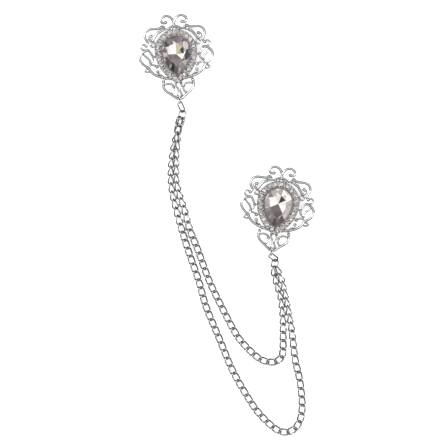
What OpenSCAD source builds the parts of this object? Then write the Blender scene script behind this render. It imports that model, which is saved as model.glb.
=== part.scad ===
/* [Main stone] */
// Width of the pear stone
stone_w = 10; // [9:0.5:11]
// Length of the pear stone, point to round end
stone_l = 14; // [13:0.5:16]
// Height of the crown, from the girdle to the table
crown_h = 1.6; // [1.2:0.1:2.2]
// Depth of the pavilion below the girdle
pavilion_h = 2.2; // [1.6:0.1:2.6]
// Thickness of the girdle
girdle_t = 0.2; // [0.15:0.05:0.3]
// Size of the table as a share of the girdle's outline
table_share = 0.62; // [0.5:0.02:0.7]
// Distance of the table's middle below the middle of the round end
table_down = 1.5; // [1:0.1:2]

/* [Setting] */
// Gap between a stone and the metal round it
stone_gap = 0.06; // [0.05:0.01:0.1]
// Wall of the bezel that holds the pear stone
bezel_t = 0.4; // [0.3:0.05:0.6]
// Height of the bezel's rim over the girdle's lower edge
bezel_grip = 0.3; // [0.2:0.05:0.5]
// Thickness of the closed back of the cup
cup_floor = 0.5; // [0.4:0.1:0.8]
// Width of the halo band round the bezel
halo_w = 2.35; // [2.2:0.05:2.8]
// Height of the halo band over the back of the frame
halo_h = 2.1; // [1.8:0.1:2.4]
// Diameter of a small round stone
halo_stone_d = 1.9; // [1.7:0.05:2]
// Height of a small stone over its girdle
halo_crown_h = 0.42; // [0.3:0.02:0.5]
// Depth of a small stone below its girdle
halo_pavilion_h = 0.75; // [0.6:0.05:0.9]
// Thickness of a small stone's girdle
halo_girdle_t = 0.08; // [0.06:0.02:0.12]
// Least distance between the middles of two small stones
halo_pitch = 2.25; // [2.15:0.05:2.6]
// Diameter of a prong between the small stones
prong_d = 0.5; // [0.4:0.05:0.6]
// Height of a prong over the halo band
prong_h = 0.35; // [0.2:0.05:0.5]
// Distance of a prong's middle from the edge of the halo band
prong_edge = 0.3; // [0.25:0.05:0.4]

/* [Scrollwork] */
// Width of the scroll frame
frame_w = 27.8; // [27:0.2:30]
// Length of the scroll frame, without its eye
frame_l = 31.8; // [31:0.2:34]
// Thickness of the cast strands
plate_t = 1.0; // [0.8:0.1:1.3]
// Height of the raised rib on the main strands
rib_h = 0.45; // [0.3:0.05:0.6]
// Width of a main strand
strand_w = 0.9; // [0.8:0.05:0.95]
// Width of a fine strand
fine_w = 0.65; // [0.6:0.05:0.7]
// Step between a main strand's edge and its rib
rib_step = 0.13; // [0.1:0.01:0.2]
// Diameter of the beads at the ends of the scrolls
bead_d = 1.25; // [1.1:0.05:1.4]
// Height of the beads' middle over the back of the frame
bead_z = 0.9; // [0.7:0.05:1]
// Widest gap between strands that the casting closes
cast_gap = 0.1; // [0.06:0.02:0.16]

/* [Eye and rings] */
// Outer diameter of the eye at the foot of the frame
eye_d = 1.9; // [1.85:0.05:2.1]
// Bore of the eye
eye_bore = 1.2; // [1.15:0.05:1.25]
// Width of the eye
eye_w = 0.5; // [0.4:0.05:0.55]
// Wire of the oval link and of the jump ring
ring_wire = 0.5; // [0.45:0.05:0.55]
// Height of the eye's middle over the back of the frame
eye_z = 0.65; // [0.6:0.05:0.7]
// Distance from the foot of the frame to the middle of the eye
eye_reach = 0.7; // [0.65:0.05:0.9]
// Outer length of the oval link
oval_l = 5; // [4.9:0.05:5.1]
// Outer width of the oval link
oval_w = 2.3; // [2.25:0.05:2.4]
// Outer diameter of the jump ring
jump_d = 3.8; // [3.7:0.05:3.9]
// Slope of the oval link down from the eye, in degrees
oval_slope = 20; // [17.5:0.5:22.5]
// Roll of the oval links about their length, in degrees
oval_roll = -30; // [-33:1:-27]
// Swing of the first oval link to the right, in degrees
first_swing = 20; // [17:1:23]
// Slope of the first jump ring, in degrees
first_jump_slope = -15; // [-18:1:-12]
// Roll of the first jump ring, in degrees
first_jump_roll = 30; // [27.5:0.5:32.5]
// Swing of the second oval link to the right, in degrees
second_swing = 55; // [52:1:58]
// Slope of the second jump ring, in degrees
second_jump_slope = -10; // [-13:1:-7]
// Roll of the second jump ring, in degrees
second_jump_roll = 40; // [37.5:0.5:42.5]

/* [Chain] */
// Outer length of a curb link
link_l = 4.45; // [4.4:0.05:4.55]
// Outer width of a curb link
link_w = 2.85; // [2.8:0.05:2.95]
// Wire of a curb link
link_wire = 0.55; // [0.5:0.01:0.56]
// Distance from link to link
link_pitch = 3.08; // [3:0.01:3.1]
// Twist of each end of a link, in degrees
link_twist = 50; // [48:1:53]

/* [Back pin] */
// Height of the pin fitting, from the surface to the back of the frame
pin_h = 3; // [2.9:0.1:3.4]
// Length of the pin bar
pin_l = 15; // [13:1:18]
// Width of the pin bar
pin_bar_w = 3; // [2.4:0.2:4]
// Thickness of the pin bar
pin_bar_t = 0.5; // [0.4:0.1:0.7]
// Diameter of the pin wire
pin_wire = 0.8; // [0.7:0.05:1]
// Diameter of the rolled ends that carry the pin wire
pin_roll_d = 2.2; // [2:0.1:2.4]
// Gap between the pin bar and the frame
pin_gap = 0.05; // [0.03:0.01:0.1]

/* [Layout] */
// Middle of the first brooch, to the right
first_x = -18.4; // [-20:0.1:-17]
// Middle of the first brooch, away from the viewer
first_y = 62.3; // [61:0.05:64]
// Turn of the first brooch, in degrees, left round
first_turn = 4.3; // [2:0.1:6]
// Middle of the second brooch, to the right
second_x = 18.9; // [17:0.1:20]
// Middle of the second brooch, away from the viewer
second_y = 6.2; // [5:0.05:8]
// Turn of the second brooch, in degrees, left round
second_turn = -7.8; // [-9:0.1:-6]

/* [Hidden] */

metal = "silver";
// The stone's round end is centred here above the middle of the frame
stone_y = 2.4;
// Depth to which raised work reaches into the metal under it
root = 0.2;
// Samples between two points of a strand or a route
strand_steps = 4;
route_steps = 8;
// Corners of a pear outline, round its top and along each side
top_corners = 20;
side_corners = 12;
// Corners of a small cut stone, and of the pear stone's girdle
cut_sides = 8;
girdle_sides = 24;
// Corners round a wire and stations round a link
wire_sides = 5;
link_stations = 10;
ring_stations = 14;

// Scroll strands of the right half, in hundredths of half the frame's width and length,
// with the foot of the frame down. Columns: 1 for a main strand or 0 for a fine one,
// 1 where its last point carries a bead, and the points.
STRANDS = [
    // top scroll
    [1, 1, [[0, 71], [1, 82], [8, 92], [20, 96], [31, 92], [34, 85], [29, 80], [22, 81]]],
    // brace from the top scroll to the halo
    [0, 0, [[0, 72], [6, 66], [12, 60]]],
    [0, 0, [[3, 72], [12, 69], [20, 65], [28, 66]]],
    // shoulder loop
    [1, 1, [[32, 71], [43, 68], [55, 68], [67, 67], [77, 61], [80, 51], [76, 42], [73, 36], [78, 30]]],
    // hook inside the shoulder loop
    [1, 1, [[36, 62], [46, 57], [54, 48], [60, 41], [67, 43], [69, 49], [63, 52]]],
    // small side curl
    [0, 0, [[79, 29], [83, 33], [89, 32], [92, 27], [88, 22], [80, 20], [72, 20]]],
    // leaf on the side and the loop under it
    [1, 0, [[72, 20], [82, 18], [92, 12], [97, 2], [94, -7], [85, -16], [75, -22], [71, -29],
            [64, -36], [53, -42], [41, -46], [29, -48], [17, -51]]],
    // vein of the leaf
    [0, 0, [[90, 13], [82, 6], [74, -1], [70, -9], [72, -19]]],
    // inner edge of the leaf
    [0, 0, [[73, 20], [67, 12], [62, 3], [63, -5], [70, -11]]],
    [0, 0, [[52, 5], [57, 3], [62, 3]]],
    // bar across to the halo
    [0, 1, [[71, -11], [68, -15], [61, -16], [53, -20]]],
    // bud on the side
    [0, 0, [[73, -25], [79, -23], [87, -28], [80, -31], [72, -30]]],
    // curl inside the lower loop
    [0, 1, [[41, -42], [49, -38], [52, -32]]],
    // wing at the foot
    [0, 1, [[29, -48], [36, -50], [39, -56]]],
    [1, 0, [[39, -55], [41, -64], [39, -72], [33, -79], [24, -85], [15, -91], [8, -96], [2, -98]]],
    [0, 0, [[40, -65], [32, -62], [23, -62], [14, -66], [12, -74], [16, -82], [23, -85]]],
    // strand down the middle
    [0, 0, [[6, -60], [6, -68], [2, -75], [4, -82], [7, -89], [7, -95]]],
];
// Small rings of the right half, in the same hundredths: middle, then radius in hundredths of
// half the frame's width
RINGS = [[32, 68, 6], [60, 32, 6]];

// Middle lines of the two strands between the jump rings, round numbers chosen by hand.
// Columns: right, away, lift over lying flat on the surface, roll of the links in degrees. Below
// the first brooch the short strand rides on the long one, and by the second the long one leans
// on the short.
LONG_ROUTE = [
    [-17.5, 36, 0.5, -10], [-19, 31, 0, -45], [-20, 26, 0, -50], [-20.5, 21, 0, -50],
    [-20.5, 17, 0, -50], [-20, 12, 0, -45], [-18.5, 6, 0, -35], [-16.5, -1.5, 0, -15],
    [-14, -9.5, 0, 0], [-10, -21, 0, -10], [-7.5, -30, 0, 0], [-2.5, -42, 0, 5],
    [2.5, -54, 0, -5], [9.5, -66, 0, 0], [13.5, -71, 0, 5], [18.5, -75.5, 0, 0],
    [21.5, -76.5, 0, 0], [24.5, -76, 0, 0], [27, -73, 0, 0], [28, -68.5, 0, 5],
    [28, -64, 0, 10], [27, -56, 0, 0], [25.5, -50, 0, 10], [24.5, -41, 0, 20],
    [23.5, -34, 0, 50], [22.5, -29, 0.5, 50], [21.5, -24, 1, 50], [20.5, -20, 1.5, 50],
];
SHORT_ROUTE = [
    [-18, 36, 3, 0], [-18, 31, 2, -40], [-18.5, 26, 1.5, -50], [-18.5, 21, 1, -50],
    [-18.5, 17, 0.5, -50], [-17.5, 12, 0.5, -45], [-15.5, 6, 0.5, -35], [-13.5, -1.5, 0, -15],
    [-10.5, -9, 0, 0], [-6.5, -20, 0, 5], [-2.5, -28.5, 0, 0], [3.5, -40, 0, -5],
    [7.5, -45, 0, 0], [12.5, -49.5, 0, 0], [15.5, -50.5, 0, 0], [18.5, -50.5, 0, 0],
    [20.5, -49, 0, 0], [21, -46, 0, 0], [21, -41, 0, 10], [21, -35.5, 0, 35],
    [20.5, -29.5, 0, 50], [20, -26, 0, 50], [19, -23, 0, 50], [18, -19.5, 0, 50],
];
// Where the long and the short strand hold on to a jump ring, in degrees from its foot to the
// right, and the roll of the links there
FIRST_HOLDS = [[-5, -10], [-40, -10]];
SECOND_HOLDS = [[25, 15], [-10, 15]];
// Where the oval link holds on to a jump ring, in degrees from its foot to the right
OVAL_HOLD = 165;

// Pear outline, grown by e beyond the girdle: a half circle with an arc down each side
pear_r = stone_w / 2;
pear_h = stone_l - pear_r;
pear_k = (pear_h * pear_h - pear_r * pear_r) / (2 * pear_r);
function pear_side(e) = acos(pear_k / (pear_r + pear_k + e));
function pear_arc(e) = PI * (pear_r + e);
function pear_flank(e) = (pear_r + pear_k + e) * pear_side(e) * PI / 180;
function pear_length(e) = pear_arc(e) + 2 * pear_flank(e);
// Point of the outline at length s from the right end of the half circle, turning left
function pear_at(e, s) =
    s <= pear_arc(e) ?
        let (a = 180 * s / pear_arc(e)) [(pear_r + e) * cos(a), stone_y + (pear_r + e) * sin(a)]
    : s <= pear_arc(e) + pear_flank(e) ?
        let (q = pear_r + pear_k + e, a = 180 + (s - pear_arc(e)) / q * 180 / PI)
        [pear_k + q * cos(a), stone_y + q * sin(a)]
    : let (q = pear_r + pear_k + e, a = (s - pear_length(e)) / q * 180 / PI)
        [-pear_k + q * cos(a), stone_y + q * sin(a)];
function pear(e, n) = [for (i = [0 : n - 1]) pear_at(e, pear_length(e) * (i + 0.5 * (n % 2)) / n)];
// Outline with its exact corners: half circle, flank and point
function pear_outline(e, top, side) = concat(
    [for (i = [0 : top]) pear_at(e, pear_arc(e) * i / top)],
    [for (i = [1 : side]) pear_at(e, pear_arc(e) + pear_flank(e) * i / side)],
    [for (i = [1 : side - 1]) pear_at(e, pear_arc(e) + pear_flank(e) * (1 + i / side))]);

// Smooth curve through points, with k steps from one to the next
function blend(a, b, c, d, t) =
    0.5 * (2 * b + (c - a) * t + (2 * a - 5 * b + 4 * c - d) * t * t + (3 * b - a - 3 * c + d) * t * t * t);
function smooth(p, k) = let (n = len(p)) concat(
    [for (i = [0 : n - 2], j = [0 : k - 1])
        blend(i > 0 ? p[i - 1] : 2 * p[0] - p[1], p[i], p[i + 1],
              i < n - 2 ? p[i + 2] : 2 * p[n - 1] - p[n - 2], j / k)],
    [p[n - 1]]);
function unit(v) = v / norm(v);

// Scroll strands
function in_frame(q) = [q[0] * frame_w / 200, q[1] * frame_l / 200];
function strand_line(s) = smooth([for (q = s[2]) in_frame(q)], strand_steps);
module strand(p, w) {
    n = len(p);
    side = [for (i = [0 : n - 1])
        let (t = unit(p[min(i + 1, n - 1)] - p[max(i - 1, 0)])) [-t[1], t[0]] * w / 2];
    polygon(concat([for (i = [0 : n - 1]) p[i] + side[i]], [for (i = [n - 1 : -1 : 0]) p[i] - side[i]]));
    for (q = [p[0], p[n - 1]]) translate(q) circle(d = w, $fn = 10);
}
module strands(main_only) {
    for (m = [0, 1]) mirror([m, 0])
        for (s = STRANDS) if (s[0] == 1 || !main_only)
            strand(strand_line(s), s[0] == 1 ? strand_w : fine_w);
    // neck of the eye
    translate([-eye_w / 2, eye_y]) square([eye_w, eye_reach + strand_w]);
}
module small_rings() {
    for (m = [0, 1]) mirror([m, 0])
        for (r = RINGS) translate(in_frame(r)) difference() {
            circle(r = r[2] * frame_w / 200 + fine_w / 2, $fn = 16);
            circle(r = r[2] * frame_w / 200 - fine_w / 2, $fn = 12);
        }
}
halo_in = stone_gap + bezel_t;
halo_out = halo_in + halo_w;
halo_mid = halo_in + halo_w / 2;
stones_round = floor(pear_length(halo_mid) / halo_pitch);
stone_step = pear_length(halo_mid) / stones_round;
girdle_z = cup_floor + stone_gap + pavilion_h;
seat_depth = halo_pavilion_h + stone_gap;
eye_y = -frame_l / 2 - eye_reach;

module scroll_plate() {
    linear_extrude(plate_t)
        offset(delta = -cast_gap / 2) offset(delta = cast_gap / 2) {
            strands(false);
            small_rings();
            polygon(pear_outline(halo_out, top_corners, side_corners));
        }
}
module scroll_ribs() {
    translate([0, 0, plate_t - root]) linear_extrude(rib_h + root)
        offset(delta = -rib_step - cast_gap / 2) offset(delta = cast_gap / 2) strands(true);
}
module scroll_beads() {
    for (m = [0, 1]) mirror([m, 0, 0])
        for (s = STRANDS) if (s[1] == 1)
            translate(concat(in_frame(s[2][len(s[2]) - 1]), bead_z)) sphere(d = bead_d, $fn = 24);
}
module halo_band() {
    linear_extrude(halo_h) polygon(pear_outline(halo_out, top_corners, side_corners));
}
module bezel() {
    linear_extrude(girdle_z + bezel_grip) polygon(pear_outline(halo_in, top_corners, side_corners));
}
module cup_hollow() {
    translate([0, 0, cup_floor]) linear_extrude(girdle_z + bezel_grip)
        polygon(pear_outline(stone_gap, top_corners, side_corners));
}
module halo_seats() {
    for (i = [0 : stones_round - 1])
        translate(concat(pear_at(halo_mid, stone_step * (i + 0.5)), halo_h - seat_depth))
            cylinder(d = halo_stone_d + 2 * stone_gap, h = seat_depth + 1, $fn = 24);
}
module prongs() {
    for (i = [0 : stones_round - 1], e = [halo_in + prong_edge, halo_out - prong_edge])
        translate(concat(pear_at(e, pear_length(e) * i / stones_round), halo_h - root))
            cylinder(d = prong_d, h = prong_h + root, $fn = 8);
}
module eye() {
    translate([0, eye_y, eye_z]) rotate([0, 90, 0]) cylinder(d = eye_d, h = eye_w, center = true, $fn = 32);
}
module eye_hole() {
    translate([0, eye_y, eye_z]) rotate([0, 90, 0])
        cylinder(d = eye_bore, h = eye_w + 2, center = true, $fn = 32);
}
module brooch_frame() {
    difference() {
        union() {
            scroll_plate();
            scroll_ribs();
            scroll_beads();
            halo_band();
            bezel();
            prongs();
            eye();
        }
        cup_hollow();
        halo_seats();
        eye_hole();
    }
}

// A cut stone: table, crown, girdle band and pavilion, over the outline p
module cut_stone(p, middle, crown, girdle, pavilion) {
    n = len(p);
    top = [for (q = p) let (r = middle + (q - middle) * table_share) [r[0], r[1], girdle + crown]];
    upper = [for (q = p) [q[0], q[1], girdle]];
    lower = [for (q = p) [q[0], q[1], 0]];
    tip = [[middle[0], middle[1], -pavilion]];
    polyhedron(
        points = concat(top, upper, lower, tip),
        faces = concat(
            [[for (i = [n - 1 : -1 : 0]) i]],
            [for (r = [0, n], i = [0 : n - 1]) let (j = (i + 1) % n)
                for (f = [[r + i, r + j, r + n + i], [r + j, r + n + j, r + n + i]]) f],
            [for (i = [0 : n - 1]) [2 * n + i, 2 * n + (i + 1) % n, 3 * n]]));
}
module pear_stone() {
    translate([0, 0, girdle_z])
        cut_stone(pear(0, girdle_sides), [0, stone_y - table_down], crown_h, girdle_t, pavilion_h);
}
module halo_stones() {
    for (i = [0 : stones_round - 1])
        translate(concat(pear_at(halo_mid, stone_step * (i + 0.5)), halo_h))
            cut_stone([for (k = [0 : cut_sides - 1])
                           let (a = 360 * k / cut_sides) halo_stone_d / 2 * [cos(a), sin(a)]],
                      [0, 0], halo_crown_h, halo_girdle_t, halo_pavilion_h);
}

// The pin fitting: bar, two rolled ends and the wire between them, one solid
module back_pin() {
    reach = pin_l / 2 - pin_roll_d / 2;
    translate([0, stone_y, 0]) {
        translate([-pin_l / 2, -pin_bar_w / 2, pin_h - pin_gap - pin_bar_t])
            cube([pin_l, pin_bar_w, pin_bar_t]);
        for (x = [-reach, reach]) {
            translate([x, 0, pin_roll_d / 2]) rotate([90, 0, 0])
                cylinder(d = pin_roll_d, h = pin_bar_w, center = true, $fn = 32);
            translate([x - pin_roll_d / 4, -pin_bar_w / 2, pin_roll_d / 2])
                cube([pin_roll_d / 2, pin_bar_w, pin_h - pin_gap - pin_bar_t / 2 - pin_roll_d / 2]);
        }
        translate([-reach, 0, pin_roll_d / 2]) rotate([0, 90, 0])
            cylinder(d = pin_wire, h = 2 * reach, $fn = 24);
    }
}

// Wire bent round a closed middle line of points: one shell of a polyhedron
function loop_rings(c, d) =
    let (n = len(c), mid = [for (k = [0 : 2]) [for (q = c) q[k]] * [for (q = c) 1] / n])
    [for (i = [0 : n - 1])
        let (t = unit(c[(i + 1) % n] - c[(i + n - 1) % n]),
             out = c[i] - mid,
             u = unit(out - (out * t) * t),
             v = cross(t, u))
        for (j = [0 : wire_sides - 1]) let (a = 360 * (j + 0.5) / wire_sides)
            c[i] + d / 2 * (cos(a) * u + sin(a) * v)];
function loop_faces(n, first) =
    [for (i = [0 : n - 1], j = [0 : wire_sides - 1])
        let (a = first + i * wire_sides, b = first + ((i + 1) % n) * wire_sides, k = (j + 1) % wire_sides)
        for (f = [[a + j, a + k, b + k], [a + j, b + k, b + j]]) f];
// Middle line of a link: straight sides, round ends, each end rolled about the length
function link_line(l, w, d, twist, n) = let (a = (l - d) / 2, b = (w - d) / 2, h = n / 2 - 1)
    [for (e = [0, 1], i = [0 : h])
        let (s = 1 - 2 * e, t = -90 + 180 * i / h,
             x = s * (a - b + b * cos(t)), y = s * b * sin(t), r = twist * x / a)
        [x, y * cos(r), y * sin(r)]];
// The same line carried to a place: middle m, along the unit vector t, rolled
function placed(line, m, t, roll) =
    let (s = unit(cross([0, 0, 1], t)), up = cross(t, s),
         y = cos(roll) * s + sin(roll) * up, z = cos(roll) * up - sin(roll) * s)
    [for (q = line) m + q[0] * t + q[1] * y + q[2] * z];

// Height of a flat link's middle line over the surface, when rolled
function rest_h(roll) = link_wire / 2 + max([for (q = LINK_LINE) abs(q[1] * sin(roll) + q[2] * cos(roll))]);
LINK_LINE = link_line(link_l, link_w, link_wire, link_twist, link_stations);
floor_gap = 0.03;

// Places at equal steps along a route of points and rolls
function xyz(q) = [q[0], q[1], q[2]];
function lengths(p, i = 0, s = 0) =
    i == len(p) - 1 ? [s] : concat([s], lengths(p, i + 1, s + norm(xyz(p[i + 1]) - xyz(p[i]))));
function lying(route) = [for (q = route) [q[0], q[1], q[2] + rest_h(q[3]) + floor_gap, q[3]]];
function stations(route) =
    let (p = smooth(route, route_steps), s = lengths(p), n = round(s[len(s) - 1] / link_pitch))
    [for (i = [0 : n])
        [for (k = [0 : 3]) lookup(s[len(s) - 1] * i / n, [for (j = [0 : len(p) - 1]) [s[j], p[j][k]]])]];
module strand_of_links(route) {
    g = stations(route);
    m = len(g) - 1;
    shells = [for (i = [0 : m - 1]) let (a = xyz(g[i]), b = xyz(g[i + 1]))
        loop_rings(placed(LINK_LINE, (a + b) / 2, unit(b - a), (g[i][3] + g[i + 1][3]) / 2), link_wire)];
    polyhedron(points = [for (s = shells) each s],
               faces = [for (i = [0 : m - 1])
                            each loop_faces(link_stations, i * link_stations * wire_sides)]);
}
module closed_wire(c, d) {
    polyhedron(points = loop_rings(c, d), faces = loop_faces(len(c), 0));
}

// The eye holds the oval link where the link's round end lies across the bore. In the brooch's
// own frame: the link's plane holds the right and a slope down the page, and so does the ring's
oval_a = (oval_l - ring_wire) / 2;
oval_b = (oval_w - ring_wire) / 2;
jump_r = (jump_d - ring_wire) / 2;
ring_gap = 0.16;
function slope_down(a) = [0, -cos(a), -sin(a)];
function slope_up(a) = [0, -sin(a), cos(a)];
oval_right = cos(oval_roll) * [1, 0, 0] + sin(oval_roll) * slope_up(oval_slope);
// Each end: swing of its oval link, slope and roll of its jump ring
FIRST_END = [first_swing, first_jump_slope, first_jump_roll];
SECOND_END = [second_swing, second_jump_slope, second_jump_roll];
function oval_axis(swing) = sin(swing) * oval_right + cos(swing) * slope_down(oval_slope);
function oval_side(swing) = cos(swing) * oval_right - sin(swing) * slope_down(oval_slope);
function oval_middle(swing) =
    [0, eye_y, pin_h + eye_z] + oval_b * slope_down(oval_slope) + (oval_a - oval_b) * oval_axis(swing);
module oval_link(end) {
    closed_wire([for (q = link_line(oval_l, oval_w, ring_wire, 0, ring_stations))
        oval_middle(end[0]) + q[0] * oval_axis(end[0]) + q[1] * oval_side(end[0])], ring_wire);
}
function jump_at(end, r, a) = r * (cos(a) * slope_down(end[1])
    + sin(a) * (cos(end[2]) * [1, 0, 0] + sin(end[2]) * slope_up(end[1])));
function jump_middle(end) = oval_middle(end[0])
    + (oval_a - ring_wire - ring_gap) * oval_axis(end[0]) - jump_at(end, jump_r, OVAL_HOLD);
module jump_ring(end) {
    closed_wire([for (i = [0 : ring_stations - 1])
        jump_middle(end) + jump_at(end, jump_r, 360 * i / ring_stations)], ring_wire);
}
// Where a strand's first link is centred on its end, inside the ring's wire
function hold_point(end, a) =
    jump_middle(end) + jump_at(end, jump_r - (ring_wire + link_wire) / 4 - ring_gap / 2, a);
function carried(q, x, y, turn) =
    [x + cos(turn) * q[0] - sin(turn) * q[1], y + sin(turn) * q[0] + cos(turn) * q[1], q[2]];
function first_hold(h) = concat(carried(hold_point(FIRST_END, h[0]), first_x, first_y, first_turn), h[1]);
function second_hold(h) =
    concat(carried(hold_point(SECOND_END, h[0]), second_x, second_y, second_turn), h[1]);
function whole_route(route, i) =
    concat([first_hold(FIRST_HOLDS[i])], lying(route), [second_hold(SECOND_HOLDS[i])]);

// The page's middle carried to the middle of the whole piece
centring = [-0.2, -0.2, 0];
module first_place() {
    translate(centring + [first_x, first_y, 0]) rotate(first_turn) children();
}
module second_place() {
    translate(centring + [second_x, second_y, 0]) rotate(second_turn) children();
}
module first_frame() { color(metal) first_place() translate([0, 0, pin_h]) brooch_frame(); }
module first_stone() { color("mistyrose") first_place() translate([0, 0, pin_h]) pear_stone(); }
module first_halo_stones() { color("lavenderblush") first_place() translate([0, 0, pin_h]) halo_stones(); }
module first_back_pin() { color(metal) first_place() back_pin(); }
module first_oval_link() { color(metal) first_place() oval_link(FIRST_END); }
module first_jump_ring() { color(metal) first_place() jump_ring(FIRST_END); }
module second_frame() { color(metal) second_place() translate([0, 0, pin_h]) brooch_frame(); }
module second_stone() { color("mistyrose") second_place() translate([0, 0, pin_h]) pear_stone(); }
module second_halo_stones() { color("lavenderblush") second_place() translate([0, 0, pin_h]) halo_stones(); }
module second_back_pin() { color(metal) second_place() back_pin(); }
module second_oval_link() { color(metal) second_place() oval_link(SECOND_END); }
module second_jump_ring() { color(metal) second_place() jump_ring(SECOND_END); }
module long_chain() { color(metal) translate(centring) strand_of_links(whole_route(LONG_ROUTE, 0)); }
module short_chain() { color(metal) translate(centring) strand_of_links(whole_route(SHORT_ROUTE, 1)); }

first_frame();
first_stone();
first_halo_stones();
first_back_pin();
first_oval_link();
first_jump_ring();
second_frame();
second_stone();
second_halo_stones();
second_back_pin();
second_oval_link();
second_jump_ring();
long_chain();
short_chain();
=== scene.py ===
# %% [markdown]
# # Lapel chain
# Two openwork brooches, each with a pear stone in a halo of small stones, are joined by two
# curb chains. The solids come from CAD and hold the real sizes. This file gives each of them
# its looks, one kind of piece at a time, and never moves them.

# %% Start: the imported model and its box
import math
import random

import bmesh
import bpy
import numpy as np
from mathutils import Matrix, Vector


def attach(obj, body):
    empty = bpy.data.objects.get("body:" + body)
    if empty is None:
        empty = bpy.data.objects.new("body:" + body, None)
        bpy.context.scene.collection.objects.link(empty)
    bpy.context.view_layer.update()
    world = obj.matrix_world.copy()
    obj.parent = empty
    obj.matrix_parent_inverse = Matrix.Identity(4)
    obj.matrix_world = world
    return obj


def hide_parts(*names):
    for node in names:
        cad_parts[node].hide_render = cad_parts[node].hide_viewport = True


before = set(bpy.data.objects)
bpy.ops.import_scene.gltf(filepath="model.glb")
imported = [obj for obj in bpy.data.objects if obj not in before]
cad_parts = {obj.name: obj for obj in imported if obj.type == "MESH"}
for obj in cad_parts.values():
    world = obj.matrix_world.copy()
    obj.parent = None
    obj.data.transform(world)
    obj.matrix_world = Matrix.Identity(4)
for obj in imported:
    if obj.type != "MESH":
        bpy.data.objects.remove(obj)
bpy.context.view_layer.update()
MM = 0.001

# %% [markdown]
# ## Camera
# The piece was photographed lying flat, from straight above. A long lens far away keeps the
# raised stones from leaning outwards. The view is as wide as the photograph, which shows
# 0.37 mm to a pixel over 440 pixels.

# %% Camera straight above the surface
PHOTO_SIDE, MM_TO_A_PIXEL = 440, 0.37
VIEW_WIDTH = PHOTO_SIDE * MM_TO_A_PIXEL * MM
VIEW_MIDDLE = (-2.51 * MM, 1.84 * MM)
CAMERA_HEIGHT = 1.6
camera_data = bpy.data.cameras.new("camera")
camera_data.lens = camera_data.sensor_width * CAMERA_HEIGHT / VIEW_WIDTH
camera_data.clip_end = 20
camera = bpy.data.objects.new("camera", camera_data)
camera.location = (*VIEW_MIDDLE, CAMERA_HEIGHT)
bpy.context.scene.collection.objects.link(camera)
bpy.context.scene.camera = camera
print("lens in mm:", round(camera_data.lens))

# %% [markdown]
# ## Light and floor
# Polished metal shows only what is around it. Under one even white sky it would vanish into
# the white floor, so the sky is bright overhead and darker towards the horizon: the tops of
# the wires stay light and their sides turn grey, as in the photograph. Two soft panels give
# the stones something sharp to reflect. The floor glows a little, which keeps it white.

# %% Sky: bright overhead, darker near the horizon
scene = bpy.context.scene
scene.view_settings.view_transform = "Standard"
world = bpy.data.worlds.new("studio")
scene.world = world
world.use_nodes = True
sky = world.node_tree
sky.nodes.clear()
direction = sky.nodes.new("ShaderNodeTexCoord")
split = sky.nodes.new("ShaderNodeSeparateXYZ")
height_ramp = sky.nodes.new("ShaderNodeValToRGB")
sky_light = sky.nodes.new("ShaderNodeBackground")
sky_out = sky.nodes.new("ShaderNodeOutputWorld")
SKY = [(0.0, 0.12), (0.35, 0.1), (0.55, 0.6), (0.8, 0.95), (1.0, 1.1)]
for step, (place, level) in enumerate(SKY):
    stop = height_ramp.color_ramp.elements[step] if step < 2 else height_ramp.color_ramp.elements.new(place)
    stop.position = place
    stop.color = (level, level, level, 1)
sky.links.new(direction.outputs["Generated"], split.inputs[0])
sky.links.new(split.outputs["Z"], height_ramp.inputs[0])
sky.links.new(height_ramp.outputs[0], sky_light.inputs["Color"])
sky.links.new(sky_light.outputs[0], sky_out.inputs["Surface"])
print("sky steps:", len(SKY))


# %% Two soft panels
def panel(name, place, size, watts):
    light = bpy.data.lights.new(name, "AREA")
    light.shape = "RECTANGLE"
    light.size, light.size_y = size
    light.energy = watts
    lamp = bpy.data.objects.new(name, light)
    lamp.location = place
    lamp.rotation_euler = (-Vector(place)).to_track_quat("-Z", "Y").to_euler()
    scene.collection.objects.link(lamp)


panel("panel_left", (-0.35, 0.25, 0.6), (0.3, 0.25), 3.0)
panel("panel_right", (0.5, -0.2, 0.45), (0.12, 0.3), 1.2)

# %% White floor
FLOOR_SIDE = 6.0
FLOOR_GREY, FLOOR_GLOW = 0.8, 0.62
floor_bm = bmesh.new()
bmesh.ops.create_grid(floor_bm, x_segments=1, y_segments=1, size=FLOOR_SIDE / 2)
floor_mesh = bpy.data.meshes.new("floor")
floor_bm.to_mesh(floor_mesh)
floor_bm.free()
floor = bpy.data.objects.new("floor", floor_mesh)
scene.collection.objects.link(floor)
floor_paint = bpy.data.materials.new("floor_paint")
floor_paint.use_nodes = True
floor_shader = floor_paint.node_tree.nodes["Principled BSDF"]
floor_shader.inputs["Base Color"].default_value = (FLOOR_GREY, FLOOR_GREY, FLOOR_GREY, 1)
floor_shader.inputs["Roughness"].default_value = 0.9
floor_shader.inputs["Emission Color"].default_value = (1, 1, 1, 1)
floor_shader.inputs["Emission Strength"].default_value = FLOOR_GLOW
floor_mesh.materials.append(floor_paint)
print("floor side in m:", FLOOR_SIDE)

# %% [markdown]
# ## Finishes
# The metal is cast and plated in a silver colour, then tumbled to a shine. It is never quite
# even: the plating clouds a little and fine marks catch the light, so noise drives both the
# roughness and a faint bump. A painted shade darkens the colour where the surface turns steep.
# The stones are cut glass. Each facet of a real stone shows a different part of the room, so
# each facet keeps a painted reflection as its own tone in a colour attribute, and a clear coat
# adds the gloss on top.

# %% Plated metal
# upward part of the normal for the painted side shade:
# below the first only the side tone is left, above the second all
STEEP, FLAT = 0.45, 0.85


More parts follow.
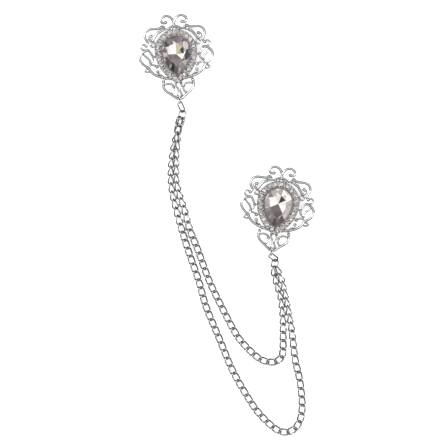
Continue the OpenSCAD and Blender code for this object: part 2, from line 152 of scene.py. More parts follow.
def plated_metal(name, colour, roughness, grain, mark_depth, side_shade_tone):
    """grain is clouds to a metre, the last argument what steep sides keep of the colour in painted shade.
    """
    material = bpy.data.materials.new(name)
    material.use_nodes = True
    tree = material.node_tree
    shader = tree.nodes["Principled BSDF"]
    shader.inputs["Metallic"].default_value = 1.0
    shader.inputs["Specular Tint"].default_value = (0.4, 0.4, 0.41, 1)
    place = tree.nodes.new("ShaderNodeTexCoord")
    clouds = tree.nodes.new("ShaderNodeTexNoise")
    clouds.inputs["Scale"].default_value = grain
    clouds.inputs["Detail"].default_value = 4
    tree.links.new(place.outputs["Object"], clouds.inputs["Vector"])
    tone = tree.nodes.new("ShaderNodeValToRGB")
    tone.color_ramp.elements[0].position = 0.3
    tone.color_ramp.elements[0].color = (*[c * 0.8 for c in colour], 1)
    tone.color_ramp.elements[1].position = 0.7
    tone.color_ramp.elements[1].color = (*colour, 1)
    tree.links.new(clouds.outputs["Fac"], tone.inputs[0])
    # painted shade: the colour drops towards the side tone as the normal turns from up or down to sideways
    lie = tree.nodes.new("ShaderNodeNewGeometry")
    split = tree.nodes.new("ShaderNodeSeparateXYZ")
    tree.links.new(lie.outputs["Normal"], split.inputs[0])
    flat = tree.nodes.new("ShaderNodeMath")
    flat.operation = "ABSOLUTE"
    tree.links.new(split.outputs["Z"], flat.inputs[0])
    side_shade = tree.nodes.new("ShaderNodeMapRange")
    side_shade.inputs["From Min"].default_value = STEEP
    side_shade.inputs["From Max"].default_value = FLAT
    side_shade.inputs["To Min"].default_value = side_shade_tone
    tree.links.new(flat.outputs[0], side_shade.inputs["Value"])
    side_shaded = tree.nodes.new("ShaderNodeVectorMath")
    side_shaded.operation = "SCALE"
    tree.links.new(tone.outputs[0], side_shaded.inputs[0])
    tree.links.new(side_shade.outputs["Result"], side_shaded.inputs["Scale"])
    tree.links.new(side_shaded.outputs[0], shader.inputs["Base Color"])
    spread = tree.nodes.new("ShaderNodeMapRange")
    spread.inputs["To Min"].default_value = roughness * 0.7
    spread.inputs["To Max"].default_value = roughness * 1.4
    tree.links.new(clouds.outputs["Fac"], spread.inputs["Value"])
    tree.links.new(spread.outputs["Result"], shader.inputs["Roughness"])
    marks = tree.nodes.new("ShaderNodeTexNoise")
    marks.inputs["Scale"].default_value = grain * 5
    tree.links.new(place.outputs["Object"], marks.inputs["Vector"])
    bump = tree.nodes.new("ShaderNodeBump")
    bump.inputs["Strength"].default_value = 0.5
    bump.inputs["Distance"].default_value = mark_depth
    tree.links.new(marks.outputs["Fac"], bump.inputs["Height"])
    tree.links.new(bump.outputs[0], shader.inputs["Normal"])
    return material


# every metal gets the painted side shade; its last number is what steep sides keep of the colour
cast_metal = plated_metal("cast_metal", (0.54, 0.54, 0.545), 0.24, 900, 0.06 * MM, 0.16)
setting_metal = plated_metal("setting_metal", (0.58, 0.57, 0.57), 0.3, 900, 0.06 * MM, 0.3)
# painted shade: the prongs' plating gets a far darker colour, for the shade in the gaps between small
# stones
shaded_prong_metal = plated_metal("shaded_prong_metal", (0.22, 0.21, 0.21), 0.25, 900, 0.03 * MM, 0.3)
chain_metal = plated_metal("chain_metal", (0.38, 0.38, 0.385), 0.25, 700, 0.03 * MM, 0.4)
print("metals:", cast_metal.name, setting_metal.name, shaded_prong_metal.name, chain_metal.name)


# %% Cut glass
def cut_glass(name, roughness):
    material = bpy.data.materials.new(name)
    material.use_nodes = True
    tree = material.node_tree
    shader = tree.nodes["Principled BSDF"]
    facet = tree.nodes.new("ShaderNodeVertexColor")
    facet.layer_name = "facet"
    tree.links.new(facet.outputs["Color"], shader.inputs["Base Color"])
    shader.inputs["Roughness"].default_value = roughness
    shader.inputs["IOR"].default_value = 1.6
    shader.inputs["Specular IOR Level"].default_value = 0.25
    shader.inputs["Coat Weight"].default_value = 0.25
    shader.inputs["Coat Roughness"].default_value = 0.02
    return material


large_glass = cut_glass("large_glass", 0.15)
small_glass = cut_glass("small_glass", 0.12)
print("glass:", large_glass.name, small_glass.name)

# %% [markdown]
# ## Places
# The brooches lie where the CAD has them. The lowest point of each pear stone gives the
# place, and the way from there to the middle of the back fitting's bar gives the turn. A chain
# node holds many loose links, so its mesh is split and each link's own lie is read from it.


# %% Solids of a CAD node, as groups of points
def solids_of(node):
    bm = bmesh.new()
    bm.from_mesh(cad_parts[node].data)
    bmesh.ops.remove_doubles(bm, verts=bm.verts, dist=0.001 * MM)
    waiting, solids = set(bm.verts), []
    for start in bm.verts:
        if start not in waiting:
            continue
        waiting.remove(start)
        edge_of_solid, solid = [start], []
        while edge_of_solid:
            point = edge_of_solid.pop()
            solid.append(point.co[:])
            for edge in point.link_edges:
                other = edge.other_vert(point)
                if other in waiting:
                    waiting.remove(other)
                    edge_of_solid.append(other)
        solids.append(np.array(solid))
    bm.free()
    return solids


def lie_of(points):
    """Where a solid lies: a matrix whose X runs along its length and Z through its thickness."""
    middle = points.mean(0)
    spread, axes = np.linalg.eigh(np.cov((points - middle).T))
    length, width = Vector(axes[:, 2]), Vector(axes[:, 1])
    turn = Matrix((length, width, length.cross(width))).transposed().to_4x4()
    return Matrix.Translation(middle) @ turn


# %% Where the two brooches lie
BROOCHES = ("first", "second")
FRAME_BACK = 3.0  # all sizes below are in mm, in a brooch's own frame
STONE_W, STONE_L = 10.0, 14.0
STONE_Y = 2.4
TABLE_DOWN = 1.5


def brooch_place(which):
    """From mm in the brooch's own frame to metres in the shared one."""
    culet = min((v.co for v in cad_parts[which + "_stone"].data.vertices), key=lambda p: p.z)
    fitting = [v.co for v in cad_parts[which + "_back_pin"].data.vertices]
    top = max(p.z for p in fitting)
    bar = Vector(np.mean([p for p in fitting if top - p.z < 0.01 * MM], axis=0))
    up = (bar - culet).xy
    turn = Matrix.Rotation(math.atan2(-up.x, up.y), 4, "Z")
    origin = culet.xy.to_3d() - turn @ Vector((0, STONE_Y - TABLE_DOWN, 0)) * MM
    return Matrix.Translation(origin) @ turn @ Matrix.Scale(MM, 4)


for which in BROOCHES:
    place = brooch_place(which)
    print(which, "brooch, middle in mm:", [round(c / MM, 2) for c in place.translation],
          "turn:", round(math.degrees(place.to_euler().z), 2))

# %% [markdown]
# ## Tools for wire
# Chains, rings and scrolls are all wire bent along a line. A circle is the wire's section.
# Where the wire is taller than wide, as in the castings, the circle's upper half is lifted,
# which leaves straight sides and a round top. The section stands across the line and is
# extruded from station to station. A closed wire ends by bridging its last section to its
# first.


# %% Smooth line through a few chosen points
def smooth_line(points, steps):
    """Catmull-Rom curve through the points, steps from one to the next."""
    points = [Vector(p) for p in points]
    ends = [2 * points[0] - points[1], *points, 2 * points[-1] - points[-2]]
    line = []
    for a, b, c, d in zip(ends, ends[1:], ends[2:], ends[3:]):
        for step in range(steps):
            t = step / steps
            line.append(0.5 * (2 * b + (c - a) * t + (2 * a - 5 * b + 4 * c - d) * t * t
                               + (3 * b - a - 3 * c + d) * t ** 3))
    return line + [points[-1]]


def circle_line(middle, right, ahead, reach, count):
    turns = (2 * math.pi * i / count for i in range(count))
    return [middle + reach * (math.cos(a) * right + math.sin(a) * ahead) for a in turns]


def stand_at(point, along, up):
    """A place whose Z runs along the wire and whose Y points up as far as it can."""
    side = along.cross(up).normalized()
    return Matrix.Translation(point) @ Matrix((side, side.cross(along), along)).transposed().to_4x4()


def stations_on(line, up, closed=False):
    places, last = [], len(line) - 1
    for i, point in enumerate(line):
        ahead = line[(i + 1) % len(line)] if closed or i < last else point
        behind = line[i - 1] if closed or i > 0 else point
        places.append(stand_at(point, (ahead - behind).normalized(), up[i] if isinstance(up, list) else up))
    return places


# %% Wire along a row of stations
def edges_of(points):
    """Every edge at some points, once each and always in the same order."""
    return list(dict.fromkeys(edge for point in points for edge in point.link_edges))


def grow_edges(bm, edges):
    """Extrudes a row of edges; gives the new edges and their points."""
    grown = bmesh.ops.extrude_edge_only(bm, edges=edges)["geom"]
    points = [g for g in grown if isinstance(g, bmesh.types.BMVert)]
    both_new = set(points).issuperset
    return [g for g in grown if isinstance(g, bmesh.types.BMEdge) and both_new(g.verts)], points


def bend_wire(bm, places, width, height, sides, closed=False):
    section = bmesh.ops.create_circle(bm, cap_ends=False, radius=width / 2, segments=sides)["verts"]
    first = edges = edges_of(section)
    for side in (-1, 1):
        half = [point for point in section if side * point.co.y > 0.1 * width]
        bmesh.ops.translate(bm, vec=(0, side * (height - width) / 2, 0), verts=half)
    bmesh.ops.transform(bm, matrix=places[0], verts=section)
    for here, there in zip(places, places[1:]):
        edges, points = grow_edges(bm, edges)
        bmesh.ops.transform(bm, matrix=there @ here.inverted(), verts=points)
    if closed:
        bmesh.ops.bridge_loops(bm, edges=first + edges)
    else:
        bmesh.ops.contextual_create(bm, geom=first)
        bmesh.ops.contextual_create(bm, geom=edges)


# %% A finished piece
def finish_piece(name, bm, material, nodes, smooth_angle=None):
    bmesh.ops.recalc_face_normals(bm, faces=bm.faces)
    mesh = bpy.data.meshes.new(name)
    bm.to_mesh(mesh)
    bm.free()
    mesh.materials.append(material)
    if smooth_angle:
        mesh.shade_smooth()
        mesh.set_sharp_from_angle(angle=math.radians(smooth_angle))
    piece = bpy.data.objects.new(name, mesh)
    scene.collection.objects.link(piece)
    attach(piece, "root")
    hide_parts(*nodes)
    triangles = sum(len(p.vertices) - 2 for p in mesh.polygons)
    print(name, "triangles:", triangles)
    return piece


# %% [markdown]
# ## Scrollwork
# Each brooch is one casting of round strands that cross, fork and end in small balls. One
# half is drawn as lines through chosen points and mirrored. Main strands are thick and stand
# high, fine ones are thin and lie lower, so the crossings read as over and under.

# %% Lines of the scrolls, right half
FRAME_W, FRAME_L = 27.8, 31.8
MAIN_W, MAIN_H = 0.98, 1.45
FINE_W, FINE_H = 0.74, 1.1
# hundredths of half the frame: main strand or not, ball at the end or not, points
SCROLLS = [
    (1, 1, [(0, 71), (1, 82), (8, 92), (20, 96), (31, 92), (34, 85), (29, 80), (22, 81)]),
    (0, 0, [(0, 72), (6, 66), (12, 60)]),
    (0, 0, [(3, 72), (12, 69), (20, 65), (28, 66)]),
    (1, 1, [(32, 71), (43, 68), (55, 68), (67, 67), (77, 61), (80, 51), (76, 42), (73, 36), (78, 30)]),
    (1, 1, [(36, 62), (46, 57), (54, 48), (60, 41), (67, 43), (69, 49), (63, 52)]),
    (0, 0, [(79, 29), (83, 33), (89, 32), (92, 27), (88, 22), (80, 20), (72, 20)]),
    (1, 0, [(72, 20), (82, 18), (92, 12), (97, 2), (94, -7), (85, -16), (75, -22), (71, -29),
            (64, -36), (53, -42), (41, -46), (29, -48), (17, -51)]),
    (0, 0, [(90, 13), (82, 6), (74, -1), (70, -9), (72, -19)]),
    (0, 0, [(73, 20), (67, 12), (62, 3), (63, -5), (70, -11)]),
    (0, 0, [(52, 5), (57, 3), (62, 3)]),
    (0, 1, [(71, -11), (68, -15), (61, -16), (53, -20)]),
    (0, 0, [(73, -25), (79, -23), (87, -28), (80, -31), (72, -30)]),
    (0, 1, [(41, -42), (49, -38), (52, -32)]),
    (0, 1, [(29, -48), (36, -50), (39, -56)]),
    (1, 0, [(39, -55), (41, -64), (39, -72), (33, -79), (24, -85), (15, -91), (8, -96), (2, -98)]),
    (0, 0, [(40, -65), (32, -62), (23, -62), (14, -66), (12, -74), (16, -82), (23, -85)]),
    (0, 0, [(6, -60), (6, -68), (2, -75), (4, -82), (7, -89), (7, -95)]),
]
LOOPS = [((32, 68), 6), ((60, 32), 6)]
BALL_D, BALL_Z = 1.25, 0.9
# where strands meet, a grain of metal fills the corner
GRAINS = [(4, 71), (12, 62), (29, 68), (44, 59), (73, 36), (73, 19), (62, 4), (71, -11), (74, -23),
          (54, -21), (41, -44), (30, -49), (40, -57), (38, -73), (7, -61), (14, -69), (4, -92)]
GRAIN_D, GRAIN_Z = 1.0, 0.95
EYE_Y, EYE_Z, EYE_D, EYE_BORE, EYE_W = -16.6, 0.65, 1.9, 1.2, 0.5
EYE_NECK = 1.3  # from the middle of the eye up to the foot of the scrolls
STRAND_STEPS, STRAND_SIDES = 5, 10
LOOP_STATIONS, EYE_STATIONS = 14, 20
RIGHT, AHEAD, UP = Vector((1, 0, 0)), Vector((0, 1, 0)), Vector((0, 0, 1))
print("scroll lines:", len(SCROLLS), "loops:", len(LOOPS))


# %% Strands, loops, balls and eye of one brooch
def in_frame(point, hand, height):
    return Vector((hand * point[0] * FRAME_W / 200, point[1] * FRAME_L / 200, FRAME_BACK + height))


def add_scrolls(bm):
    for hand in (1, -1):
        for main, ball, points in SCROLLS:
            width, height = (MAIN_W, MAIN_H) if main else (FINE_W, FINE_H)
            line = smooth_line([in_frame(p, hand, height / 2) for p in points], STRAND_STEPS)
            bend_wire(bm, stations_on(line, UP), width, height, STRAND_SIDES)
            if ball:
                middle = Matrix.Translation(in_frame(points[-1], hand, BALL_Z))
                bmesh.ops.create_uvsphere(bm, u_segments=14, v_segments=9, radius=BALL_D / 2, matrix=middle)
        for point in GRAINS:
            middle = Matrix.Translation(in_frame(point, hand, GRAIN_Z))
            bmesh.ops.create_uvsphere(bm, u_segments=12, v_segments=8, radius=GRAIN_D / 2, matrix=middle)
        for middle, radius in LOOPS:
            centre = in_frame(middle, hand, FINE_H / 2)
            reach = radius * FRAME_W / 200
            circle = circle_line(centre, RIGHT, AHEAD, reach, LOOP_STATIONS)
            stations = stations_on(circle, UP, closed=True)
            bend_wire(bm, stations, FINE_W, FINE_H, STRAND_SIDES, closed=True)


def add_eye(bm):
    middle = Vector((0, EYE_Y, FRAME_BACK + EYE_Z))
    reach = (EYE_D + EYE_BORE) / 4
    circle = circle_line(middle, AHEAD, UP, reach, EYE_STATIONS)
    stations = stations_on(circle, RIGHT, closed=True)
    bend_wire(bm, stations, (EYE_D - EYE_BORE) / 2, EYE_W, STRAND_SIDES, closed=True)
    neck = [middle + Vector((0, reach, 0)), middle + Vector((0, EYE_NECK, 0))]
    bend_wire(bm, stations_on(neck, UP), EYE_W, EYE_D / 3, STRAND_SIDES)


for which in BROOCHES:
    bm = bmesh.new()
    add_scrolls(bm)
    add_eye(bm)
    bmesh.ops.transform(bm, matrix=brooch_place(which), verts=bm.verts)
    finish_piece(which + "_scrollwork", bm, cast_metal, [which + "_frame"], 40)

# %% [markdown]
# ## Halo and bezel
# Inside the scrolls sits a raised band that carries the small stones, and inside that a thin
# wall that holds the pear stone. Both follow the pear outline at a distance. One loop of
# points is extruded from step to step of the profile, and each step moves it to its own
# distance and height. Round seats are then cut for the small stones.


# %% Pear outline at a distance e outside the stone
PEAR_R = STONE_W / 2
PEAR_K = ((STONE_L - PEAR_R) ** 2 - PEAR_R ** 2) / (2 * PEAR_R)


def pear_parts(e):
    """Length of the round end's arc and of one flank."""
    flank_r = PEAR_R + PEAR_K + e
    return math.pi * (PEAR_R + e), flank_r * math.acos(PEAR_K / flank_r)


def pear_at(e, s):
    """Point at length s, starting at the right end of the round end and turning left."""
    arc, flank = pear_parts(e)
    flank_r = PEAR_R + PEAR_K + e
    if s <= arc:
        a = math.pi * s / arc
        return (PEAR_R + e) * math.cos(a), STONE_Y + (PEAR_R + e) * math.sin(a)
    if s <= arc + flank:
        a = math.pi + (s - arc) / flank_r
        return PEAR_K + flank_r * math.cos(a), STONE_Y + flank_r * math.sin(a)
    a = (s - arc - 2 * flank) / flank_r
    return -PEAR_K + flank_r * math.cos(a), STONE_Y + flank_r * math.sin(a)


def pear_outline(e, top, side):
    arc, flank = pear_parts(e)
    stops = [arc * i / top for i in range(top)] + [arc + flank * i / side for i in range(2 * side)]
    return [pear_at(e, s) for s in stops]


print("pear flank radius in mm:", round(PEAR_R + PEAR_K, 2))

# %% Profile of the setting: distance from the stone, height over the back
BEZEL_IN, BEZEL_OUT, HALO_OUT = 0.06, 0.46, 2.81
HALO_H, RIM_H = 2.1, 3.06
PROFILE = [(HALO_OUT, 0), (HALO_OUT, HALO_H - 0.15), (HALO_OUT - 0.15, HALO_H), (BEZEL_OUT + 0.1, HALO_H),
           (BEZEL_OUT, HALO_H + 0.1), (BEZEL_OUT, RIM_H - 0.34), (BEZEL_OUT - 0.06, RIM_H - 0.26),
           (BEZEL_IN + 0.05, RIM_H), (BEZEL_IN, RIM_H - 0.05), (BEZEL_IN, 1.2), (-2.2, 0.6)]
OUTLINE_TOP, OUTLINE_SIDE = 30, 20
SETTING_SHARP = 35  # degrees
OUTLINE_POINTS = OUTLINE_TOP + 2 * OUTLINE_SIDE


def add_setting(bm):
    ring = bmesh.ops.create_circle(bm, cap_ends=False, radius=1, segments=OUTLINE_POINTS)["verts"]
    ring.sort(key=lambda v: math.atan2(v.co.y, v.co.x) % (2 * math.pi))
    edges = edges_of(ring)
    bottom = edges
    for step, (e, height) in enumerate(PROFILE):
        if step:
            edges, new = grow_edges(bm, edges)
            partner = {edge.other_vert(point): point for point in new for edge in point.link_edges}
            ring = [partner[point] for point in ring]
        for point, (x, y) in zip(ring, pear_outline(e, OUTLINE_TOP, OUTLINE_SIDE)):
            point.co = (x, y, FRAME_BACK + height)
    bmesh.ops.contextual_create(bm, geom=bottom)
    bmesh.ops.contextual_create(bm, geom=edges)


# %% Places round the halo
HALO_MID = (BEZEL_OUT + HALO_OUT) / 2
HALO_PITCH = 2.25
HALO_STONE_D = 1.9
STONES_ROUND = int((pear_parts(HALO_MID)[0] + 2 * pear_parts(HALO_MID)[1]) / HALO_PITCH)


def round_the_halo(e, shift):
    """One point for each small stone, at a distance e, shifted by a share of the step."""
    arc, flank = pear_parts(e)
    step = (arc + 2 * flank) / STONES_ROUND
    return [pear_at(e, step * (i + shift)) for i in range(STONES_ROUND)]


print("small stones round a halo:", STONES_ROUND)

# %% Setting with cut seats
SEAT_GAP, SEAT_DEPTH = 0.09, 0.81
CUTTER_RISE = 0.1  # from the band up to the cutter's middle


def cut_seats(piece, which):
    cutter_bm = bmesh.new()
    for x, y in round_the_halo(HALO_MID, 0.5):
        place = Matrix.Translation((x, y, FRAME_BACK + HALO_H + CUTTER_RISE))
        bmesh.ops.create_cone(cutter_bm, cap_ends=True, segments=20, radius1=HALO_STONE_D / 2 + SEAT_GAP,
                              radius2=HALO_STONE_D / 2 + SEAT_GAP, depth=2 * SEAT_DEPTH, matrix=place)
    bmesh.ops.transform(cutter_bm, matrix=brooch_place(which), verts=cutter_bm.verts)
    cutter_mesh = bpy.data.meshes.new("cutter")
    cutter_bm.to_mesh(cutter_mesh)
    cutter_bm.free()
    cutter = bpy.data.objects.new("cutter", cutter_mesh)
    scene.collection.objects.link(cutter)
    cut = piece.modifiers.new("seats", "BOOLEAN")
    cut.operation, cut.solver, cut.object = "DIFFERENCE", "MANIFOLD", cutter
    cut_mesh = bpy.data.meshes.new_from_object(piece.evaluated_get(bpy.context.evaluated_depsgraph_get()))
    piece.modifiers.clear()
    piece.data = cut_mesh
    cut_mesh.shade_smooth()
    cut_mesh.set_sharp_from_angle(angle=math.radians(SETTING_SHARP))
    bpy.data.objects.remove(cutter)


for which in BROOCHES:
    bm = bmesh.new()
    add_setting(bm)
    bmesh.ops.transform(bm, matrix=brooch_place(which), verts=bm.verts)
    setting = finish_piece(which + "_setting", bm, setting_metal, [which + "_frame"],
                           SETTING_SHARP)
    cut_seats(setting, which)
    print(which, "setting faces after the cut:", len(setting.data.polygons))

# %% Prongs: two grains of metal between each pair of small stones
PRONG_D, PRONG_EDGE, PRONG_TOP = 0.56, 0.3, 0.35


def add_prongs(bm):
    for e in (BEZEL_OUT + PRONG_EDGE, HALO_OUT - PRONG_EDGE):
        for x, y in round_the_halo(e, 0):
            place = Matrix.Translation((x, y, FRAME_BACK + HALO_H + PRONG_TOP - PRONG_D / 2))
            bmesh.ops.create_uvsphere(bm, u_segments=10, v_segments=7, radius=PRONG_D / 2, matrix=place)


for which in BROOCHES:
    bm = bmesh.new()
    add_prongs(bm)
    bmesh.ops.transform(bm, matrix=brooch_place(which), verts=bm.verts)
    finish_piece(which + "_prongs", bm, shaded_prong_metal, [which + "_frame"], 60)

# %% [markdown]
# ## Pear stones
# A cutter grinds a stone one flat facet at a time, so this stone starts as a pear-shaped block
# and each facet is one cut by a plane. Eight main facets rise from the girdle to the table,
# sixteen steeper ones lie along the girdle and eight flat ones border the table. What glitters
# in a real stone is its lower half seen through the table, so the table is split into an inner
# and an outer ring of parts, each with a painted reflection of its own.

# %% Painted reflections of the facets
REFLECTED_TONES = {"white": (0.88, 0.85, 0.83), "tan": (0.42, 0.37, 0.27), "cream": (0.8, 0.74, 0.7),
         "pink": (0.52, 0.45, 0.44), "grey": (0.34, 0.32, 0.32), "brown": (0.19, 0.155, 0.155),
         "dark": (0.1, 0.085, 0.09), "black": (0.02, 0.018, 0.018)}
# painted reflections in eight parts round the middle of the glints, turning left: inner tone, outer tone
TABLE_REFLECTIONS = {
    "first": [("tan", "black"), ("tan", "tan"), ("white", "white"), ("white", "white"),
              ("brown", "dark"), ("dark", "brown"), ("dark", "brown"), ("cream", "white")],
    "second": [("black", "cream"), ("cream", "cream"), ("white", "white"), ("white", "white"),
               ("dark", "dark"), ("dark", "dark"), ("white", "white"), ("white", "pink")],
}
# painted reflections on the slope round the table, same order; every facet picks one of its tones
CROWN_REFLECTIONS = {
    "first": ["pink grey cream dark", "brown dark brown grey", "brown dark pink", "grey pink brown",
              "pink dark brown", "brown dark grey black", "grey pink brown", "grey pink dark"],
    "second": ["pink cream cream", "cream pink grey", "grey brown pink", "grey cream grey",
               "dark grey brown", "dark brown grey", "grey pink pink", "pink grey cream"],
}
print("facet tones:", ", ".join(REFLECTED_TONES))

# %% Cutting tools
CROWN_H, GIRDLE_T, PAVILION_H, TABLE_SHARE = 1.6, 0.2, 2.2, 0.62
CUP_FLOOR, STONE_GAP = 0.5, 0.06
GIRDLE_Z = FRAME_BACK + CUP_FLOOR + STONE_GAP + PAVILION_H
TABLE_Z = GIRDLE_Z + GIRDLE_T + CROWN_H
MIDDLE = Vector((0, STONE_Y - TABLE_DOWN))
# slope of the facets along the girdle and at the table against a main one, and the lift of the last
GIRDLE_STEEP, STAR_STEEP, STAR_LIFT = 1.35, 0.55, 0.62
HAIR = 1e-5  # points nearer to a cut than this lie on it
LEVEL, SLOPING = 0.999, 0.01  # upward part of the normal of a table and of the least steep slope


def grind(bm, point, normal):
    """Takes off all that lies beyond the plane and closes the facet."""
    cut = bmesh.ops.bisect_plane(bm, geom=[*bm.verts, *bm.edges, *bm.faces], plane_co=point,
                                 plane_no=normal, clear_outer=True, dist=HAIR)["geom_cut"]
    edges = [g for g in cut if isinstance(g, bmesh.types.BMEdge)]
    if len(edges) > 2:
        bmesh.ops.contextual_create(bm, geom=edges)


def rim_point(share):
    """Point on the girdle at a share of the way round, and the way out of the stone there."""
    arc, flank = pear_parts(0)
    s = (share % 1) * (arc + 2 * flank)
    near, far = (Vector(pear_at(0, (s + step) % (arc + 2 * flank))) for step in (-0.01, 0.01))
    along = (far - near).normalized()
    return (near + far) / 2, Vector((along.y, -along.x))


def crown_facet(bm, share, steep, lift):
    """steep is the slope against that of a main facet, lift the height over the girdle."""
    rim, out = rim_point(share)
    run = (rim - MIDDLE).dot(out) * (1 - TABLE_SHARE)
    grind(bm, (*rim, GIRDLE_Z + GIRDLE_T + lift), Vector((*(out * CROWN_H * steep), run)))


def pavilion_facet(bm, share):
    rim, out = rim_point(share)
    grind(bm, (*rim, GIRDLE_Z), Vector((*(out * PAVILION_H), -(rim - MIDDLE).dot(out))))


# %% The stone
MAIN_SHARES = [(i + 0.5) / 8 for i in range(8)]


def cut_pear_stone():
    bm = bmesh.new()
    block = bmesh.ops.create_circle(bm, cap_ends=True, radius=1, segments=OUTLINE_POINTS)["verts"]
    block.sort(key=lambda v: math.atan2(v.co.y, v.co.x) % (2 * math.pi))
    for point, (x, y) in zip(block, pear_outline(0, OUTLINE_TOP, OUTLINE_SIDE)):
        point.co = (x, y, GIRDLE_Z - PAVILION_H)
    top = bmesh.ops.extrude_face_region(bm, geom=list(bm.faces))["geom"]
    height = PAVILION_H + GIRDLE_T + CROWN_H
    bmesh.ops.translate(bm, vec=(0, 0, height), verts=[g for g in top if isinstance(g, bmesh.types.BMVert)])
    bmesh.ops.recalc_face_normals(bm, faces=bm.faces)
    for share in MAIN_SHARES:
        crown_facet(bm, share, 1, 0)
        pavilion_facet(bm, share)
        for side in (-1, 1):
            crown_facet(bm, share + side / 32, GIRDLE_STEEP, 0)
        crown_facet(bm, share + 1 / 16, STAR_STEEP, STAR_LIFT)
    return bm


# %% Parts of the table, each with a tone
GLINT_MIDDLE = {"first": Vector((0, 0.9, TABLE_Z)), "second": Vector((0, 1.85, TABLE_Z))}
GLINT_TURN = {"first": 0, "second": 0.7}  # in eighths
INNER_REACH = {"first": 2.0, "second": 2.9}


def split_faces(bm, faces, point, normal):
    """Draws a cut across some faces without taking anything off."""
    parts = dict.fromkeys(part for face in faces for part in (face, *face.edges, *face.verts))
    bmesh.ops.bisect_plane(bm, geom=list(parts), plane_co=point, plane_no=normal, dist=HAIR)


def table_faces(bm):
    return [face for face in bm.faces if face.normal.z > LEVEL]


def way(eighths):
    return Vector((math.cos(math.pi * eighths / 4), math.sin(math.pi * eighths / 4), 0))


def eighth_of(face, which):
    """Which eighth round the middle of the glints the face lies in, and how far out."""
    out = face.calc_center_median() - GLINT_MIDDLE[which]
    eighths = math.atan2(out.y, out.x) * 4 / math.pi - GLINT_TURN[which]
    return int(eighths % 8), out.xy.length


def split_table(bm, which):
    for i in range(4):
        split_faces(bm, table_faces(bm), GLINT_MIDDLE[which], way(i + GLINT_TURN[which]))
    for i in range(8):
        out = way(i + 0.5 + GLINT_TURN[which])
        eighth = [face for face in table_faces(bm) if eighth_of(face, which)[0] == i]
        split_faces(bm, eighth, GLINT_MIDDLE[which] + INNER_REACH[which] * out, out)


def split_crown(bm):
    """Halves the slope's facets again, since each throws back two or three different things."""
    for i in range(8):
        slope = [face for face in bm.faces if SLOPING < face.normal.z < LEVEL]
        split_faces(bm, slope, MIDDLE.to_3d(), way(i / 2 + 0.25))


# %% Tones of the painted reflections, by chance
CELLS_TO_A_MM, CELL_SHIFT = 10, 0.37
LARGE_SPREAD, SMALL_SPREAD = (0.75, 1.3), (0.8, 1.25)  # how much darker or lighter a facet may be


def chance_at(face, name):
    """Draws for one facet, seeded by its place, so that the order of the faces never matters."""
    cell = [math.floor(CELLS_TO_A_MM * c + CELL_SHIFT) for c in face.calc_center_median()]
    return random.Random(f"{name} {cell}")


# painted reflection: a facet's base colour is set to a tone that stands for the light it throws back
def paint_reflection(face, paint, tone, light):
    for corner in face.loops:
        corner[paint] = (*[min(1, c * light) for c in tone], 1)


# painted reflections: table parts by eighth and ring, slope facets by chance, girdle and lower half dark
def paint_reflections(bm, which):
    paint = bm.loops.layers.float_color.new("facet")
    for face in bm.faces:
        chance = chance_at(face, which)
        eighth, reach = eighth_of(face, which)
        if face.normal.z > LEVEL:
            tone = REFLECTED_TONES[TABLE_REFLECTIONS[which][eighth][reach > INNER_REACH[which]]]
        elif face.normal.z > SLOPING:
            tone = REFLECTED_TONES[chance.choice(CROWN_REFLECTIONS[which][eighth].split())]
        else:
            tone = REFLECTED_TONES["dark"]
        paint_reflection(face, paint, tone, chance.uniform(*LARGE_SPREAD))


for which in BROOCHES:
    bm = cut_pear_stone()
    facets = len(bm.faces)
    split_table(bm, which)
    split_crown(bm)
    paint_reflections(bm, which)
    bmesh.ops.transform(bm, matrix=brooch_place(which), verts=bm.verts)
    finish_piece(which + "_pear_stone", bm, large_glass, [which + "_stone"])
    print("facets before they were split:", facets)

# %% [markdown]
# ## Small stones
# Each small stone is a brilliant with eight sides: a table, eight main facets, eight triangles
# that border the table and a pointed lower half. One stone is cut, and copies of it are
# turned a little, each with painted reflections picked by chance, since no two throw back the
# same light.

# %% One small stone
SMALL_CROWN, SMALL_GIRDLE, SMALL_PAVILION = 0.42, 0.08, 0.75
SMALL_TABLE = 0.62


def raise_ring(bm, edges, height, share):
    """Extrudes a ring of edges to a height and scales it; gives the new edges and points."""
    edges, points = grow_edges(bm, edges)
    place = Matrix.Translation((0, 0, height)) @ Matrix.Diagonal((share, share, 1, 1))
    bmesh.ops.transform(bm, matrix=place, verts=points)
    return edges, points


def small_stone(bm, place):
    """A small brilliant whose girdle's lower edge is at the place."""
    before = set(bm.verts)
    ring = bmesh.ops.create_circle(bm, cap_ends=False, radius=HALO_STONE_D / 2, segments=8)["verts"]
    girdle = edges_of(ring)
    upper, points = raise_ring(bm, girdle, SMALL_GIRDLE, 1)
    slope = set(bm.faces)
    border, points = raise_ring(bm, upper, SMALL_CROWN, SMALL_TABLE)
    bmesh.ops.rotate(bm, matrix=Matrix.Rotation(math.pi / 8, 3, "Z"), verts=points)
    slope = [face for face in bm.faces if face not in slope]
    bmesh.ops.triangulate(bm, faces=slope, quad_method="SHORT_EDGE")
    bmesh.ops.poke(bm, faces=bmesh.ops.contextual_create(bm, geom=border)["faces"])
    low = bmesh.ops.contextual_create(bm, geom=girdle)["faces"]
    culet = bmesh.ops.poke(bm, faces=low)["verts"]
    bmesh.ops.translate(bm, vec=(0, 0, -SMALL_PAVILION), verts=culet)
    new = [point for point in bm.verts if point not in before]
    bmesh.ops.transform(bm, matrix=place, verts=new)


# tones of the painted reflections on the small stones' tables and slopes
TABLE_REFLECTION_MIX = ["cream", "pink", "pink", "grey", "brown"]
SLOPE_REFLECTION_MIX = ["cream", "pink", "grey", "grey", "brown", "black"]


